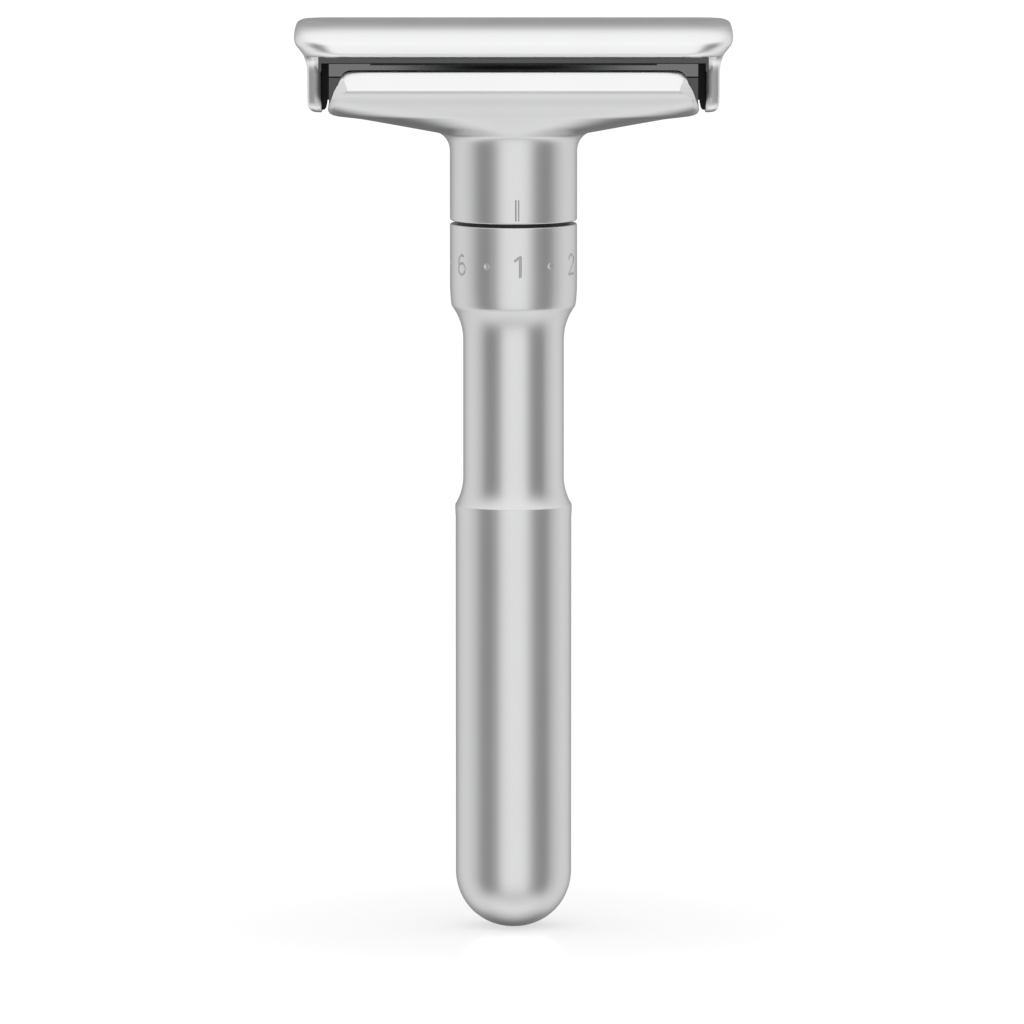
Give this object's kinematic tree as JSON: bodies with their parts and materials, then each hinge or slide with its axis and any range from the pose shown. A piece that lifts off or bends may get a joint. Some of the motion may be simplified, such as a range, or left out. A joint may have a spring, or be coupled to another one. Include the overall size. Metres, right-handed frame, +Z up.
{
  "type": "adjustable safety razor",
  "caption": "Adjustable double-edge safety razor: a satin metal handle with a numbered dial, a guard with a round neck and a snap-off cap over a standard blade.",
  "frame": {"origin": "on the handle's axis, at the top of the neck just under the guard, where a stand's fork holds the razor upright", "axes": "+Z up the handle towards the head, +X along the width of the head, -Y the side with the index mark"},
  "size_m": [0.0576, 0.0266, 0.1206],
  "materials": {
    "satin_chrome": "satin",
    "brass": "satin",
    "steel": "satin",
    "blade_steel": "polished",
    "ring_rubber": "matte",
    "washer_polymer": "matte"
  },
  "bodies": {
    "handle": {"handle_shell": "satin_chrome", "drive_nut": "brass", "nut_lock_pin": "steel", "stop_pin": "steel", "thrust_washer": "washer_polymer"},
    "head": {"guard_head": "satin_chrome", "spindle_guide": "brass", "friction_ring": "ring_rubber", "main_spring": "steel"},
    "lift": {"spindle": "steel", "blade_platform": "satin_chrome", "platform_screw": "steel", "screw_washer": "steel", "cap_catch_left": "steel", "cap_catch_right": "steel", "catch_rivet_left": "brass", "catch_rivet_right": "brass"},
    "blade": {"double_edge_blade": "blade_steel"},
    "cap": {"cap": "satin_chrome", "cap_stud_left": "steel", "cap_stud_right": "steel"}
  },
  "joints": [
    {"name": "dial_turn", "type": "hinge", "parent": "head", "child": "handle", "pos_m": [0, 0, -0.0095], "axis": [0, 0, -1], "range_deg": [0, 300]},
    {"name": "platform_lift", "type": "slide", "parent": "head", "child": "lift", "axis": [0, 0, 1], "range_m": [0, 0.0012], "deforming": ["main_spring"]},
    {"name": "cap_lift", "type": "slide", "parent": "lift", "child": "cap", "axis": [0, 0, 1], "range_m": [0, 0.02]},
    {"name": "blade_lift", "type": "slide", "parent": "lift", "child": "blade", "axis": [0, 0, 1], "range_m": [0, 0.01]}
  ],
  "couplings": [
    {"joint": "platform_lift", "follows": "dial_turn", "m_per_rad": 0.00022918},
    {"joint": "blade_lift", "follows": "cap_lift", "ratio": 0.5}
  ]
}
